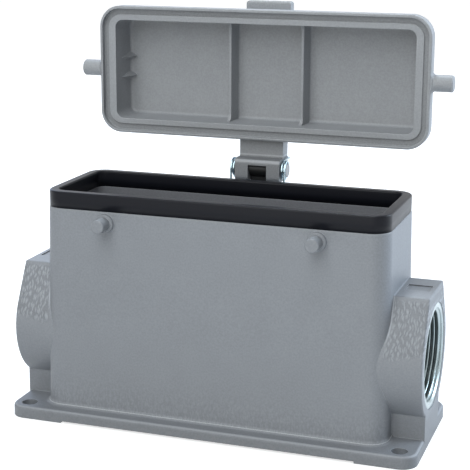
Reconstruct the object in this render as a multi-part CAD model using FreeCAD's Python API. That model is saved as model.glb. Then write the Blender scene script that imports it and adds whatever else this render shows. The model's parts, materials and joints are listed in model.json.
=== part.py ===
import FreeCAD, Part
import math
import os

from FreeCAD import Vector

# Surface-mount housing of a heavy duty rectangular connector, with a hinged sprung cover.
# Millimetres. X runs along the housing, Y across it with the hinge at the back, Z is up.
# The origin is the middle of the four mounting holes, on the mounting plane.

# Housing body
RIM_LENGTH = 120.3        # outside of the casting at its rim
RIM_WIDTH = 42.8
RIM_CORNER = 6.6
RIM_Z = 75.35             # top of the casting's rim
RIM_EDGE = 0.5            # rounding of the rim's outer edge
RIM_WALL = 3.55
BODY_DRAFT = 0.92         # degrees, the body widens downwards
CORE_DRAFT = 0.5          # degrees, the cavity narrows downwards
FLOOR_Z = 4.6             # cavity floor

# Mounting flange
FLANGE_LENGTH = 145.0
FLANGE_WIDTH = 56.0
FLANGE_THICK = 4.4
FLANGE_CORNER = 5.5
FLANGE_EDGE = 1.2
FLANGE_FILLET = 1.6       # where the body stands on the flange
FOOT_LENGTH = 20.0        # the two end strips that touch the mounting plane
FOOT_RISE = 0.7           # the middle is this much higher
MOUNT_HOLE_R = 2.75
MOUNT_INSET_X = 6.0       # hole centres from the flange's ends
MOUNT_INSET_Y = 4.75      # and from its long sides

# Cable entries: a boss and its pedestal at each end
ENTRY_Z = 30.2
BOSS_R = 21.2
BOSS_TOP_Z = 53.1
BOSS_FLAT = 23.8          # width of the flat on top
BOSS_ROOT_X = 46.0        # the bosses start inside the body
BOSS_EDGE = 0.6
PEDESTAL_WIDTH = 23.6
POCKET_LENGTH = 8.2       # bare recess on the boss's flat
POCKET_WIDTH = 7.0
POCKET_DEPTH = 0.4
POCKET_INSET = 1.9        # from the end face

# Threaded entry inserts, M32 x 1.5
INSERT_R = 18.0
INSERT_LENGTH = 12.0
INSERT_SUNK = 0.6         # the insert's face lies below the end face
THREAD_MINOR_R = 15.19
INSERT_CHAMFER = 1.1
ENTRY_CORE_R = 14.6       # cast way from the insert to the cavity

# Cast locking pegs, two on each long side
PEG_X = 37.05
PEG_DROP = 3.9            # axis below the casting's rim
PEG_COLLAR_R = 3.3
PEG_COLLAR_REACH = 1.5
PEG_R = 2.4
PEG_REACH = 7.0
PEG_EDGE = 0.6
PEG_ROOT = 1.5            # how far the pegs are rooted in the wall

# Posts for the contact insert's screws
POST_PITCH_X = 104.0
POST_PITCH_Y = 27.0
POST_R = 4.2
POST_DROP = 17.35         # top below the casting's rim
POST_HOLE_R = 1.65
POST_HOLE_DEPTH = 12.0

# Rim seal, with the casting's tongue in its groove
SEAL_HEIGHT = 5.75
SEAL_WALL = 3.4
SEAL_SET_IN = 0.15        # from the casting's outer face
SEAL_EDGE = 0.9
TONGUE_WIDTH = 1.2
TONGUE_HEIGHT = 2.6
TONGUE_PLAY = 0.1

# Hinge
PIVOT_OUT = 12.7          # from the rim's outer face
PIVOT_RISE = 7.25         # over the casting's rim
OPEN_ANGLE = 90.0         # the cover is shown this far open
PIN_R = 2.0
PIN_PLAY = 0.05           # radial, in the bracket's eye
PIN_HEAD_R = 2.6          # the heads lie inside the spring coils
PIN_HEAD_GAP = 0.1        # between knuckle and head
PIN_HEAD_EDGE = 0.4
KNUCKLE_HALF = 4.1        # half the side of the knuckle's square section
KNUCKLE_ROUND = 1.7
KNUCKLE_WIDTH = 16.9
ARM_WIDTH = 16.5
ARM_LOW = 1.2             # underside of the arm over the pivot, cover shut
ARM_HIGH = 6.9
ARM_BACK = 1.0            # the arm's top ends this far before the pivot
EYE_R = 3.1
EYE_WIDTH = 6.5
EYE_GAP = 0.4             # round the eye, in the knuckle's slot
SLOT_SIDE_GAP = 0.3
SLOT_LIP = 1.85           # the slot's lip before the pivot, cover shut

# Cover, drawn shut and then turned open about the pivot
COVER_SEAL_GAP = 0.3      # between the seal's top and the cover's band
COVER_LENGTH = 123.6
COVER_WIDTH = 46.65
COVER_CORNER = 7.9
COLLAR_HEIGHT = 6.6
COLLAR_EDGE = 0.5
COLLAR_BACK_EDGE = 1.8    # rounding of the collar's edge away from the mouth
SHELL_SET_IN = 2.2        # the shell steps in behind the collar
SHELL_DRAFT = 3.0         # degrees
SHELL_EDGE = 2.4
COVER_DEPTH = 18.2        # outside
CAVITY_LENGTH = 112.25
CAVITY_WIDTH = 36.3
CAVITY_CORNER = 2.9
CAVITY_DEPTH = 15.5
CAVITY_EDGE = 1.2         # rounding between the cover's walls and its floor
LIP_WIDTH = 1.0           # outer lip round the mouth
BAND_WIDTH = 1.95         # inner band that presses on the seal, along the long sides
BAND_END_WIDTH = 2.6      # and along the short sides
BAND_DEPTH = 1.4
GROOVE_DEPTH = 2.2
RIB_X = 13.7
RIB_THICK = 1.1
RIB_HEIGHT = 7.5
RIB_DRAFT = 0.35          # each rib is this much thicker each side at its foot
RIB_FOOT_R = 1.0          # rounding between rib and floor
RIB_EDGE = 0.35           # rounding of the rib's crest
RIB_END_R = 2.4           # rounding where a crest runs up to the long walls
GUSSET_Y = 3.6
GUSSET_WIDTH = 4.0        # at its root, in the corner of wall and floor
GUSSET_HEIGHT = 10.5
GUSSET_REACH = 3.0
COVER_PEG_R = 2.95
COVER_PEG_TIP_X = 69.3
COVER_PEG_RISE = 3.3      # axis over the mouth
COVER_PEG_EDGE = 0.45
COVER_PEG_COLLAR = 0.8
TAB_WIDTH = 16.7
TAB_RISE = 10.6
TAB_THICK = 4.0
TAB_REACH = 2.5           # beyond the collar
TAB_EDGE = 1.0

# Hinge bracket on the housing's back wall
PAD_LENGTH = 30.0         # cast pad that the bracket sits on
PAD_DROP = 3.35           # top below the casting's rim
PAD_HEIGHT = 25.0
PAD_PROUD = 2.4           # beyond the rim's outer face
PAD_EDGE = 1.0
PLATE_LENGTH = 26.0
PLATE_THICK = 3.0
PLATE_MARGIN = 2.0        # plate inside the pad's top and bottom
PLATE_CORNER = 2.5
STRUT_WIDTH = 12.0
STRUT_THICK = 4.2
NECK_FRONT = 1.5          # the neck's front, before the pivot
NECK_DROP = 6.4           # the neck widens into the strut this far below the pivot
WING_WIDTH = 4.0          # wings that the spring legs lean on
WING_HEIGHT = 6.0
LEG_GAP = 0.3             # between a spring leg and its wing
SCREW_X = 8.5
SCREW_RISE = 7.5          # over the plate's lower edge
SCREW_R = 2.0
SCREW_PLAY = 0.25
SCREW_HEAD_R = 3.6
SCREW_HEAD = 2.6
SCREW_HEAD_EDGE = 0.65
SCREW_REACH = 4.4         # thread length in the casting
SCREW_HOLE_SPARE = 0.5
SOCKET_R = 1.5
SOCKET_DEPTH = 1.4
WASHER_R = 4.3
WASHER_THICK = 0.8

# Torsion springs
WIRE_R = 0.4
COIL_R = 3.4
COIL_PITCH = 0.85
COIL_TURNS = 1.25
COIL_ARCS = 4             # arcs in each turn
COIL_GAP = 0.2            # beside the coil, towards the knuckle
HOOK_GAP = 0.4            # behind the arm
HOOK_REACH = 3.2          # how far the hook runs in behind the arm
HOOK_BEND = 1.3
LEG_LAP = 2.5             # how far each leg reaches down over its wing, from the wing's foot

# Working allowances that don't show on the finished part
SUNK = 0.5                # how deep an added form is rooted in what carries it
RUN_OUT = 1.0             # how far a cutter runs past the surface where it comes out
SAME = 0.001              # places closer than this count as one

X_AXIS = Vector(1, 0, 0)
Y_AXIS = Vector(0, 1, 0)
Z_AXIS = Vector(0, 0, 1)
ORIGIN = Vector(0, 0, 0)

SEAL_TOP_Z = RIM_Z + SEAL_HEIGHT
COVER_MOUTH_Z = SEAL_TOP_Z + COVER_SEAL_GAP - BAND_DEPTH
END_X = FLANGE_LENGTH / 2
MOUNT_PITCH_X = FLANGE_LENGTH - 2 * MOUNT_INSET_X
MOUNT_PITCH_Y = FLANGE_WIDTH - 2 * MOUNT_INSET_Y
PEG_Z = RIM_Z - PEG_DROP
POST_TOP_Z = RIM_Z - POST_DROP
PIVOT_Y = RIM_WIDTH / 2 + PIVOT_OUT
PIVOT_Z = RIM_Z + PIVOT_RISE
PIVOT = Vector(0, PIVOT_Y, PIVOT_Z)
PAD_Y = RIM_WIDTH / 2 + PAD_PROUD
PAD_HIGH_Z = RIM_Z - PAD_DROP
PAD_LOW_Z = PAD_HIGH_Z - PAD_HEIGHT
PLATE_HIGH_Z = PAD_HIGH_Z - PLATE_MARGIN
PLATE_LOW_Z = PAD_LOW_Z + PLATE_MARGIN
WING_HIGH_Z = PLATE_HIGH_Z - PLATE_CORNER
WING_LOW_Z = WING_HIGH_Z - WING_HEIGHT
NECK_FOOT_Z = PIVOT_Z - NECK_DROP
SCREW_Z = PLATE_LOW_Z + SCREW_RISE
LEG_END_Z = WING_LOW_Z + LEG_LAP


def rounded_wire(length, width, radius, z):
    """Rectangle with round corners about the Z axis, at height z."""
    a = length / 2
    b = width / 2
    r = radius
    d = r * (1 - math.sqrt(0.5))
    edges = []
    corners = ((1, 1), (-1, 1), (-1, -1), (1, -1))
    starts = []
    ends = []
    mids = []
    for index, (sx, sy) in enumerate(corners):
        on_side = Vector(sx * a, sy * (b - r), z)
        on_face = Vector(sx * (a - r), sy * b, z)
        first, last = (on_side, on_face) if index % 2 == 0 else (on_face, on_side)
        starts.append(first)
        ends.append(last)
        mids.append(Vector(sx * (a - d), sy * (b - d), z))
    for index in range(4):
        edges.append(Part.Arc(starts[index], mids[index], ends[index]).toShape())
        edges.append(Part.LineSegment(ends[index], starts[(index + 1) % 4]).toShape())
    return Part.Wire(edges)


def rounded_block(length, width, radius, low, high):
    """Straight block with round vertical edges."""
    face = Part.Face(rounded_wire(length, width, radius, low))
    return face.extrude(Vector(0, 0, high - low))


def drafted_block(length, width, radius, at_z, low, high, draft):
    """Block whose half sizes grow by tan(draft) for each millimetre below at_z."""
    slope = math.tan(math.radians(draft))
    wires = []
    for z in (low, high):
        grow = 2 * slope * (at_z - z)
        wires.append(rounded_wire(length + grow, width + grow, radius, z))
    return Part.makeLoft(wires, True, True)


def profile_x(points, x_low, x_high):
    """Closed outline of lines and arcs in the YZ plane, extruded along X.

    Each entry is (y, z), or (y, z, mid_y, mid_z) for an arc that ends at (y, z)."""
    edges = []
    here = Vector(x_low, points[0][0], points[0][1])
    for entry in list(points[1:]) + [points[0][:2]]:
        there = Vector(x_low, entry[0], entry[1])
        if len(entry) == 4:
            middle = Vector(x_low, entry[2], entry[3])
            edges.append(Part.Arc(here, middle, there).toShape())
        elif here.distanceToPoint(there) > SAME:
            edges.append(Part.LineSegment(here, there).toShape())
        here = there
    return Part.Face(Part.Wire(edges)).extrude(Vector(x_high - x_low, 0, 0))


def box(x0, x1, y0, y1, z0, z1):
    return Part.makeBox(x1 - x0, y1 - y0, z1 - z0, Vector(x0, y0, z0))


def cylinder_x(radius, x0, x1, y, z):
    return Part.makeCylinder(radius, x1 - x0, Vector(x0, y, z), X_AXIS)


def mirrored_x(shape):
    return shape.mirror(ORIGIN, X_AXIS)


def mirrored_y(shape):
    return shape.mirror(ORIGIN, Y_AXIS)


def edges_where(shape, test):
    """Edges whose vertices and middle all pass the test."""
    chosen = []
    for edge in shape.Edges:
        middle = edge.valueAt((edge.FirstParameter + edge.LastParameter) / 2)
        points = [vertex.Point for vertex in edge.Vertexes] + [middle]
        if all(test(point) for point in points):
            chosen.append(edge)
    return chosen


def level(z):
    return lambda point: abs(point.z - z) < SAME


def single(shape):
    """The one solid of a result, cleaned of seams between coplanar faces."""
    clean = shape.removeSplitter()
    return clean.Solids[0] if len(clean.Solids) == 1 else clean


def export(shape, name):
    shape.exportStep(os.path.join("parts", name + ".step"))


def boss_outline():
    """Half outlines joined: flat top, straight flanks tangent to the round, and the pedestal."""
    flat = BOSS_FLAT / 2
    foot = PEDESTAL_WIDTH / 2
    rise = BOSS_TOP_Z - ENTRY_Z
    reach = math.hypot(flat, rise)
    turn = math.atan2(rise, flat) - math.acos(BOSS_R / reach)
    tangent = (BOSS_R * math.cos(turn), ENTRY_Z + BOSS_R * math.sin(turn))
    low = -math.acos(foot / BOSS_R)
    neck = (foot, ENTRY_Z + BOSS_R * math.sin(low))
    middle = (turn + low) / 2
    side = (BOSS_R * math.cos(middle), ENTRY_Z + BOSS_R * math.sin(middle))
    return [
        (-flat, BOSS_TOP_Z),
        (flat, BOSS_TOP_Z),
        tangent,
        (neck[0], neck[1], side[0], side[1]),
        (foot, FOOT_RISE),
        (-foot, FOOT_RISE),
        (-neck[0], neck[1]),
        (-tangent[0], tangent[1], -side[0], side[1]),
    ]


def make_boss():
    boss = profile_x(boss_outline(), BOSS_ROOT_X, END_X)
    rim = edges_where(boss, lambda p: abs(p.x - END_X) < SAME and p.z > FLANGE_THICK)
    rim = [edge for edge in rim if min(v.Point.z for v in edge.Vertexes) > FLANGE_THICK]
    flat = edges_where(boss, level(BOSS_TOP_Z))
    flat = [edge for edge in flat if edge.BoundBox.XLength > BOSS_EDGE]
    return boss.makeFillet(BOSS_EDGE, rim + flat)


def make_shell_outside():
    """Flange and body with the fillet between them, then the end bosses."""
    flange = rounded_block(FLANGE_LENGTH, FLANGE_WIDTH, FLANGE_CORNER, 0, FLANGE_THICK)
    flange = flange.makeFillet(FLANGE_EDGE, edges_where(flange, level(FLANGE_THICK)))
    body = drafted_block(RIM_LENGTH, RIM_WIDTH, RIM_CORNER, RIM_Z, FOOT_RISE, RIM_Z, BODY_DRAFT)
    body = body.makeFillet(RIM_EDGE, edges_where(body, level(RIM_Z)))
    stand = single(flange.fuse(body))
    foot = []
    for edge in edges_where(stand, level(FLANGE_THICK)):
        reach = edge.BoundBox
        if reach.XMax < END_X - FLANGE_EDGE and reach.YMax < FLANGE_WIDTH / 2 - FLANGE_EDGE:
            foot.append(edge)
    stand = stand.makeFillet(FLANGE_FILLET, foot)
    right = make_boss()
    return single(stand.fuse([right, mirrored_x(right)]))


def make_peg():
    """Front right peg: a round collar with a plain pin, rooted in the wall."""
    wall = RIM_WIDTH / 2 + math.tan(math.radians(BODY_DRAFT)) * (RIM_Z - PEG_Z)
    start = Vector(PEG_X, -(wall - PEG_ROOT), PEG_Z)
    collar = Part.makeCylinder(PEG_COLLAR_R, PEG_ROOT + PEG_COLLAR_REACH, start, -Y_AXIS)
    pin = Part.makeCylinder(PEG_R, PEG_ROOT + PEG_REACH, start, -Y_AXIS)
    tip = edges_where(pin, lambda p: p.y < -(wall + PEG_REACH - SAME))
    pin = pin.makeFillet(PEG_EDGE, tip)
    edge = edges_where(collar, lambda p: p.y < -(wall + PEG_COLLAR_REACH - SAME))
    collar = collar.makeFillet(PEG_EDGE, edge)
    return collar.fuse(pin)


def make_pad():
    """Pad on the back wall, flat on its outside, that carries the hinge bracket."""
    inner = RIM_WIDTH / 2 - RIM_WALL / 2
    pad = box(-PAD_LENGTH / 2, PAD_LENGTH / 2, inner, PAD_Y, PAD_LOW_Z, PAD_HIGH_Z)
    outer = edges_where(pad, lambda p: abs(p.y - PAD_Y) < SAME)
    return pad.makeFillet(PAD_EDGE, outer)


def make_posts():
    """Four posts for the contact insert, grown into the long walls."""
    posts = []
    for sx in (-1, 1):
        for sy in (-1, 1):
            x = sx * POST_PITCH_X / 2
            y = sy * POST_PITCH_Y / 2
            height = POST_TOP_Z - FLOOR_Z + FOOT_RISE
            low = FLOOR_Z - FOOT_RISE
            post = Part.makeCylinder(POST_R, height, Vector(x, y, low), Z_AXIS)
            wall_y = sy * (RIM_WIDTH - RIM_WALL) / 2
            web = box(x - POST_R, x + POST_R, min(y, wall_y), max(y, wall_y), low, POST_TOP_Z)
            posts.append(post.fuse(web))
    return posts


def drill(radius, depth, x, y, z, direction):
    return Part.makeCylinder(radius, depth, Vector(x, y, z), direction)


def make_housing():
    shell = make_shell_outside()
    peg = make_peg()
    pegs = [peg, mirrored_x(peg), mirrored_y(peg), mirrored_x(mirrored_y(peg))]
    shell = single(shell.fuse(pegs + [make_pad()]))
    inner_length = RIM_LENGTH - 2 * RIM_WALL
    inner_width = RIM_WIDTH - 2 * RIM_WALL
    inner_corner = RIM_CORNER - RIM_WALL
    cavity = drafted_block(
        inner_length, inner_width, inner_corner, RIM_Z, FLOOR_Z, RIM_Z + RUN_OUT, -CORE_DRAFT)
    shell = shell.cut(cavity)
    shell = shell.fuse(make_posts())
    tongue_set_in = SEAL_SET_IN + SEAL_WALL / 2
    tongue_out = rounded_block(
        RIM_LENGTH - 2 * tongue_set_in + TONGUE_WIDTH, RIM_WIDTH - 2 * tongue_set_in + TONGUE_WIDTH,
        RIM_CORNER - tongue_set_in + TONGUE_WIDTH / 2, RIM_Z - SUNK, RIM_Z + TONGUE_HEIGHT)
    tongue_in = rounded_block(
        RIM_LENGTH - 2 * tongue_set_in - TONGUE_WIDTH, RIM_WIDTH - 2 * tongue_set_in - TONGUE_WIDTH,
        RIM_CORNER - tongue_set_in - TONGUE_WIDTH / 2, RIM_Z - RUN_OUT, RIM_Z + TONGUE_HEIGHT + RUN_OUT)
    shell = shell.fuse(tongue_out.cut(tongue_in))
    cuts = []
    for side in (-1, 1):
        outward = Vector(side, 0, 0)
        seat = INSERT_LENGTH + INSERT_SUNK
        seat_x = side * (END_X - seat)
        cuts.append(drill(INSERT_R, seat + RUN_OUT, seat_x, 0, ENTRY_Z, outward))
        cuts.append(drill(ENTRY_CORE_R, END_X - BOSS_ROOT_X, side * BOSS_ROOT_X, 0, ENTRY_Z, outward))
        pocket_x = side * (END_X - POCKET_INSET - POCKET_LENGTH / 2)
        cuts.append(box(
            pocket_x - POCKET_LENGTH / 2, pocket_x + POCKET_LENGTH / 2,
            -POCKET_WIDTH / 2, POCKET_WIDTH / 2, BOSS_TOP_Z - POCKET_DEPTH, BOSS_TOP_Z + RUN_OUT))
        for across in (-1, 1):
            hole_x = side * MOUNT_PITCH_X / 2
            hole_y = across * MOUNT_PITCH_Y / 2
            cuts.append(drill(MOUNT_HOLE_R, FLANGE_THICK + 2 * RUN_OUT, hole_x, hole_y, -RUN_OUT, Z_AXIS))
            post_x = side * POST_PITCH_X / 2
            post_y = across * POST_PITCH_Y / 2
            cuts.append(drill(
                POST_HOLE_R, POST_HOLE_DEPTH + RUN_OUT, post_x, post_y, POST_TOP_Z - POST_HOLE_DEPTH, Z_AXIS))
        depth = SCREW_REACH + SCREW_HOLE_SPARE
        cuts.append(drill(SCREW_R, depth + RUN_OUT, side * SCREW_X, PAD_Y - depth, SCREW_Z, Y_AXIS))
    recess = FLANGE_LENGTH / 2 - FOOT_LENGTH
    cuts.append(box(-recess, recess, -FLANGE_WIDTH, FLANGE_WIDTH, -RUN_OUT, FOOT_RISE))
    return single(shell.cut(cuts))


def make_seal():
    """Ring that stands on the rim, with a groove for the casting's tongue."""
    length = RIM_LENGTH - 2 * SEAL_SET_IN
    width = RIM_WIDTH - 2 * SEAL_SET_IN
    corner = RIM_CORNER - SEAL_SET_IN
    outside = rounded_block(length, width, corner, RIM_Z, SEAL_TOP_Z)
    hole = rounded_block(
        length - 2 * SEAL_WALL, width - 2 * SEAL_WALL, corner - SEAL_WALL,
        RIM_Z - RUN_OUT, SEAL_TOP_Z + RUN_OUT)
    ring = outside.cut(hole)
    ring = ring.makeFillet(SEAL_EDGE, edges_where(ring, level(SEAL_TOP_Z)))
    groove = TONGUE_WIDTH + 2 * TONGUE_PLAY
    middle = SEAL_WALL / 2
    groove_top = RIM_Z + TONGUE_HEIGHT + TONGUE_PLAY
    groove_out = rounded_block(
        length - 2 * middle + groove, width - 2 * middle + groove,
        corner - middle + groove / 2, RIM_Z - RUN_OUT, groove_top)
    groove_in = rounded_block(
        length - 2 * middle - groove, width - 2 * middle - groove,
        corner - middle - groove / 2, RIM_Z - 2 * RUN_OUT, groove_top + RUN_OUT)
    return single(ring.cut(groove_out.cut(groove_in)))


def make_insert():
    """Right entry insert, turned about the entry's axis: a plain bore with chamfered mouths."""
    face_x = END_X - INSERT_SUNK
    back_x = face_x - INSERT_LENGTH
    outline = [
        (back_x, THREAD_MINOR_R + INSERT_CHAMFER), (back_x, INSERT_R), (face_x, INSERT_R),
        (face_x, THREAD_MINOR_R + INSERT_CHAMFER), (face_x - INSERT_CHAMFER, THREAD_MINOR_R),
        (back_x + INSERT_CHAMFER, THREAD_MINOR_R),
    ]
    points = [Vector(x, 0, ENTRY_Z + r) for x, r in outline]
    face = Part.Face(Part.makePolygon(points + [points[0]]))
    return face.revolve(Vector(0, 0, ENTRY_Z), X_AXIS, 360)


def knuckle_outline():
    """Square with round corners about the pivot, as entries for profile_x."""
    h = KNUCKLE_HALF
    r = KNUCKLE_ROUND
    d = r * (1 - math.sqrt(0.5))
    y = PIVOT_Y
    z = PIVOT_Z
    return [
        (y - h, z - h + r),
        (y - h + r, z - h, y - h + d, z - h + d),
        (y + h - r, z - h),
        (y + h, z - h + r, y + h - d, z - h + d),
        (y + h, z + h - r),
        (y + h - r, z + h, y + h - d, z + h - d),
        (y - h + r, z + h),
        (y - h, z + h - r, y - h + d, z + h - d),
    ]


def make_arm():
    """Hinge arm and knuckle of the shut cover, with the slot and the pin's bore."""
    shell_back = COVER_WIDTH / 2 - SHELL_SET_IN - 2 * SUNK
    arm_end = PIVOT_Y - ARM_BACK
    arm = profile_x([
        (shell_back, PIVOT_Z + ARM_LOW),
        (PIVOT_Y, PIVOT_Z + ARM_LOW),
        (PIVOT_Y + KNUCKLE_HALF, PIVOT_Z + KNUCKLE_HALF - KNUCKLE_ROUND),
        (arm_end, PIVOT_Z + ARM_HIGH),
        (shell_back, PIVOT_Z + ARM_HIGH),
    ], -ARM_WIDTH / 2, ARM_WIDTH / 2)
    knuckle = profile_x(knuckle_outline(), -KNUCKLE_WIDTH / 2, KNUCKLE_WIDTH / 2)
    slot_half = EYE_WIDTH / 2 + SLOT_SIDE_GAP
    slot_r = EYE_R + EYE_GAP
    room = box(
        -slot_half, slot_half, PIVOT_Y - SLOT_LIP, PIVOT_Y + 2 * ARM_HIGH,
        PIVOT_Z - 2 * ARM_HIGH, PIVOT_Z + slot_r)
    swing = cylinder_x(slot_r, -slot_half, slot_half, PIVOT_Y, PIVOT_Z)
    bore = cylinder_x(PIN_R, -KNUCKLE_WIDTH, KNUCKLE_WIDTH, PIVOT_Y, PIVOT_Z)
    return arm.fuse(knuckle), room.fuse([swing, bore])


def make_cover_pegs():
    z = COVER_MOUTH_Z + COVER_PEG_RISE
    root = COVER_LENGTH / 2 - LIP_WIDTH - SUNK
    collar_end = COVER_LENGTH / 2 + COVER_PEG_COLLAR
    pin = cylinder_x(COVER_PEG_R, root, COVER_PEG_TIP_X, 0, z)
    tip = edges_where(pin, lambda p: p.x > COVER_PEG_TIP_X - SAME)
    pin = pin.makeChamfer(COVER_PEG_EDGE, tip)
    collar = Part.makeCone(
        COVER_PEG_R + COVER_PEG_COLLAR, COVER_PEG_R, COVER_PEG_COLLAR,
        Vector(collar_end - COVER_PEG_COLLAR, 0, z), X_AXIS)
    keep = box(
        root, collar_end + RUN_OUT, -COVER_WIDTH, COVER_WIDTH, COVER_MOUTH_Z, COVER_MOUTH_Z + COVER_DEPTH)
    peg = pin.fuse(collar.common(keep))
    return [peg, mirrored_x(peg)]


def make_tab():
    """Finger tab at the middle of the front long side."""
    front = -(COVER_WIDTH / 2 + TAB_REACH)
    low = COVER_MOUTH_Z + TAB_RISE
    back = -(COVER_WIDTH / 2 - SHELL_SET_IN - 2 * SUNK)
    tab = box(-TAB_WIDTH / 2, TAB_WIDTH / 2, front, back, low, low + TAB_THICK)
    return tab.makeFillet(TAB_EDGE, edges_where(tab, lambda p: p.y < front + SAME))


def rib_outline(x, y, floor):
    """Section of a rib that hangs from the floor, with a round foot at each side."""
    top = RIB_THICK / 2
    foot = top + RIB_DRAFT
    r = RIB_FOOT_R
    d = r * (1 - math.sqrt(0.5))
    crest = floor - RIB_HEIGHT
    root = floor + SUNK
    left = [
        Vector(x - foot, y, floor - r), Vector(x - foot - d, y, floor - d), Vector(x - foot - r, y, floor)]
    right = [Vector(2 * x - point.x, y, point.z) for point in left]
    corners = [Vector(x - top, y, crest), Vector(x + top, y, crest)]
    roots = [Vector(x + foot + r, y, root), Vector(x - foot - r, y, root)]
    return Part.Wire([
        Part.LineSegment(corners[0], corners[1]).toShape(),
        Part.LineSegment(corners[1], right[0]).toShape(),
        Part.Arc(right[0], right[1], right[2]).toShape(),
        Part.LineSegment(right[2], roots[0]).toShape(),
        Part.LineSegment(roots[0], roots[1]).toShape(),
        Part.LineSegment(roots[1], left[2]).toShape(),
        Part.Arc(left[2], left[1], left[0]).toShape(),
        Part.LineSegment(left[0], corners[0]).toShape(),
    ])


def rib_end(x, floor):
    """Round corner between a rib's crest and the long wall at positive Y."""
    wall = CAVITY_WIDTH / 2
    crest = floor - RIB_HEIGHT
    r = RIB_END_R
    s = r * math.sqrt(0.5)
    return profile_x([
        (wall, crest - r),
        (wall - r, crest, wall - r + s, crest - r + s),
        (wall - r, crest + SUNK),
        (wall + SUNK, crest + SUNK),
        (wall + SUNK, crest - r),
    ], x - RIB_THICK / 2, x + RIB_THICK / 2)


def make_gusset(y, floor):
    """Pyramid with three flanks in the corner of floor and right short wall, sharp along its ridge."""
    wall = CAVITY_LENGTH / 2
    corner_x = wall + SUNK
    corner_z = floor + SUNK
    near = Vector(corner_x, y - GUSSET_WIDTH / 2, corner_z)
    far = Vector(corner_x, y + GUSSET_WIDTH / 2, corner_z)
    on_wall = Vector(corner_x, y, floor - GUSSET_HEIGHT)
    on_floor = Vector(wall - GUSSET_REACH, y, corner_z)
    triangles = (
        (near, far, on_wall), (near, on_floor, far), (near, on_wall, on_floor), (far, on_floor, on_wall))
    flanks = [Part.Face(Part.makePolygon([a, b, c, a])) for a, b, c in triangles]
    return Part.Solid(Part.Shell(flanks))


def make_ribs():
    """Two cross ribs with slanted flanks, and two gussets at each short wall."""
    floor = COVER_MOUTH_Z + CAVITY_DEPTH
    half = CAVITY_WIDTH / 2 + SUNK
    ribs = []
    for side in (-1, 1):
        rib = Part.Face(rib_outline(side * RIB_X, -half, floor)).extrude(Vector(0, 2 * half, 0))
        crest = edges_where(rib, level(floor - RIB_HEIGHT))
        ribs.append(rib.makeFillet(RIB_EDGE, [edge for edge in crest if edge.BoundBox.YLength > half]))
        end = rib_end(side * RIB_X, floor)
        ribs += [end, mirrored_y(end)]
        gusset = make_gusset(side * GUSSET_Y, floor)
        ribs += [gusset, mirrored_x(gusset)]
    return ribs


def make_cover():
    low = COVER_MOUTH_Z
    collar = rounded_block(COVER_LENGTH, COVER_WIDTH, COVER_CORNER, low, low + COLLAR_HEIGHT)
    collar = collar.makeFillet(COLLAR_EDGE, edges_where(collar, level(low)))
    collar = collar.makeFillet(COLLAR_BACK_EDGE, edges_where(collar, level(low + COLLAR_HEIGHT)))
    shell = drafted_block(
        COVER_LENGTH - 2 * SHELL_SET_IN, COVER_WIDTH - 2 * SHELL_SET_IN, COVER_CORNER - SHELL_SET_IN,
        low + COLLAR_HEIGHT, low + COLLAR_HEIGHT / 2, low + COVER_DEPTH, SHELL_DRAFT)
    shell = shell.makeFillet(SHELL_EDGE, edges_where(shell, level(low + COVER_DEPTH)))
    arm, slot = make_arm()
    cover = collar.fuse([shell, arm, make_tab()] + make_cover_pegs())
    cavity = rounded_block(CAVITY_LENGTH, CAVITY_WIDTH, CAVITY_CORNER, low - RUN_OUT, low + CAVITY_DEPTH)
    cavity = cavity.makeFillet(CAVITY_EDGE, edges_where(cavity, level(low + CAVITY_DEPTH)))
    recess = rounded_block(
        COVER_LENGTH - 2 * LIP_WIDTH, COVER_WIDTH - 2 * LIP_WIDTH, COVER_CORNER - LIP_WIDTH,
        low - RUN_OUT, low + BAND_DEPTH)
    groove_out = rounded_block(
        COVER_LENGTH - 2 * LIP_WIDTH, COVER_WIDTH - 2 * LIP_WIDTH, COVER_CORNER - LIP_WIDTH,
        low - RUN_OUT, low + GROOVE_DEPTH)
    groove_in = rounded_block(
        CAVITY_LENGTH + 2 * BAND_END_WIDTH, CAVITY_WIDTH + 2 * BAND_WIDTH, CAVITY_CORNER + BAND_WIDTH,
        low - 2 * RUN_OUT, low + GROOVE_DEPTH + RUN_OUT)
    cover = cover.cut([cavity, recess, groove_out.cut(groove_in), slot])
    cover = single(cover.fuse(make_ribs()))
    cover.rotate(PIVOT, X_AXIS, -OPEN_ANGLE)
    return cover


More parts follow.
